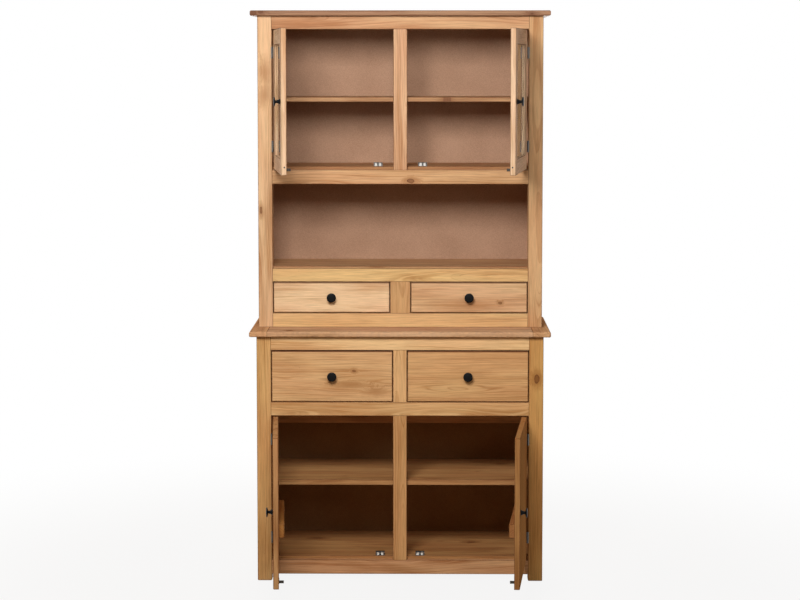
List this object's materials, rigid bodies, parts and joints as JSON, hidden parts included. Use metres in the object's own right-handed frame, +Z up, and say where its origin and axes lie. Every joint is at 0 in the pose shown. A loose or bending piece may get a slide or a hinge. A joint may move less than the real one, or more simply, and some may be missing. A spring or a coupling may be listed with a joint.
{
  "type": "kitchen cabinet",
  "caption": "Freestanding pine kitchen dresser: base with solid doors and drawers under an overhanging counter, hutch with glazed doors, open niche and small drawers.",
  "frame": {"origin": "on the floor, in the middle of the width, at the front face of the base's front frame", "axes": "+X to the right seen from the front, +Y to the back, +Z up"},
  "size_m": [1, 0.8047, 1.905],
  "materials": {
    "pine": "honey-coloured waxed pine with knots",
    "hardboard": "plain brown hardboard, smooth side in",
    "knob": "turned wood painted satin black",
    "hinge_steel": "zinc-plated steel",
    "catch_steel": "dark bronzed steel",
    "roller": "white nylon",
    "glass": "clear window glass"
  },
  "bodies": {
    "root": {"base_front_posts": "pine", "base_front_rails": "pine", "base_centre_stiles": "pine", "base_side_panels": "pine", "base_rear_frame": "pine", "base_bottom_board": "pine", "base_shelf": "pine", "base_back_panel": "hardboard", "counter_board": "pine", "counter_ends": "pine", "hutch_front_posts": "pine", "hutch_front_rails": "pine", "hutch_centre_stiles": "pine", "hutch_side_panels": "pine", "hutch_rear_frame": "pine", "hutch_niche_board": "pine", "hutch_cupboard_floor": "pine", "hutch_shelf": "pine", "hutch_back_panel": "hardboard", "top_board": "pine", "shelf_cleats": "pine", "hinge_post_leaves": "hinge_steel", "roller_catch_frames": "hinge_steel", "roller_catch_rollers": "roller", "base_drawer_runners": "pine", "hutch_drawer_runners": "pine"},
    "base_door_left": {"base_door_left_panel": "pine", "base_door_left_batten": "pine", "base_door_left_knob": "knob", "base_door_left_strike": "catch_steel", "base_door_left_hinge_leaves": "hinge_steel"},
    "hutch_door_left": {"hutch_door_left_stiles": "pine", "hutch_door_left_rails": "pine", "hutch_door_left_glass": "glass", "hutch_door_left_knob": "knob", "hutch_door_left_strike": "catch_steel", "hutch_door_left_hinge_leaves": "hinge_steel"},
    "base_door_right": {"base_door_right_panel": "pine", "base_door_right_batten": "pine", "base_door_right_knob": "knob", "base_door_right_strike": "catch_steel", "base_door_right_hinge_leaves": "hinge_steel"},
    "hutch_door_right": {"hutch_door_right_stiles": "pine", "hutch_door_right_rails": "pine", "hutch_door_right_glass": "glass", "hutch_door_right_knob": "knob", "hutch_door_right_strike": "catch_steel", "hutch_door_right_hinge_leaves": "hinge_steel"},
    "base_drawer_left": {"base_drawer_left_front": "pine", "base_drawer_left_box": "pine", "base_drawer_left_knob": "knob"},
    "base_drawer_right": {"base_drawer_right_front": "pine", "base_drawer_right_box": "pine", "base_drawer_right_knob": "knob"},
    "hutch_drawer_left": {"hutch_drawer_left_front": "pine", "hutch_drawer_left_box": "pine", "hutch_drawer_left_knob": "knob"},
    "hutch_drawer_right": {"hutch_drawer_right_front": "pine", "hutch_drawer_right_box": "pine", "hutch_drawer_right_knob": "knob"}
  },
  "joints": [
    {"name": "base_door_left_swing", "type": "hinge", "parent": "root", "child": "base_door_left", "pos_m": [-0.4275, -0.0045, 0.315], "axis": [0, 0, -1], "range_deg": [-86.1, 88.9]},
    {"name": "base_door_right_swing", "type": "hinge", "parent": "root", "child": "base_door_right", "pos_m": [0.4275, -0.0045, 0.315], "axis": [0, 0, 1], "range_deg": [-84.2, 90.8]},
    {"name": "hutch_door_left_swing", "type": "hinge", "parent": "root", "child": "hutch_door_left", "pos_m": [-0.4275, 0.1015, 1.6085], "axis": [0, 0, -1], "range_deg": [-82.7, 92.3]},
    {"name": "hutch_door_right_swing", "type": "hinge", "parent": "root", "child": "hutch_door_right", "pos_m": [0.4275, 0.1015, 1.6085], "axis": [0, 0, 1], "range_deg": [-82.2, 92.8]},
    {"name": "base_drawer_left_slide", "type": "slide", "parent": "root", "child": "base_drawer_left", "axis": [0, -1, 0], "range_m": [0, 0.26]},
    {"name": "base_drawer_right_slide", "type": "slide", "parent": "root", "child": "base_drawer_right", "axis": [0, -1, 0], "range_m": [0, 0.26]},
    {"name": "hutch_drawer_left_slide", "type": "slide", "parent": "root", "child": "hutch_drawer_left", "axis": [0, -1, 0], "range_m": [0, 0.17]},
    {"name": "hutch_drawer_right_slide", "type": "slide", "parent": "root", "child": "hutch_drawer_right", "axis": [0, -1, 0], "range_m": [0, 0.17]}
  ]
}
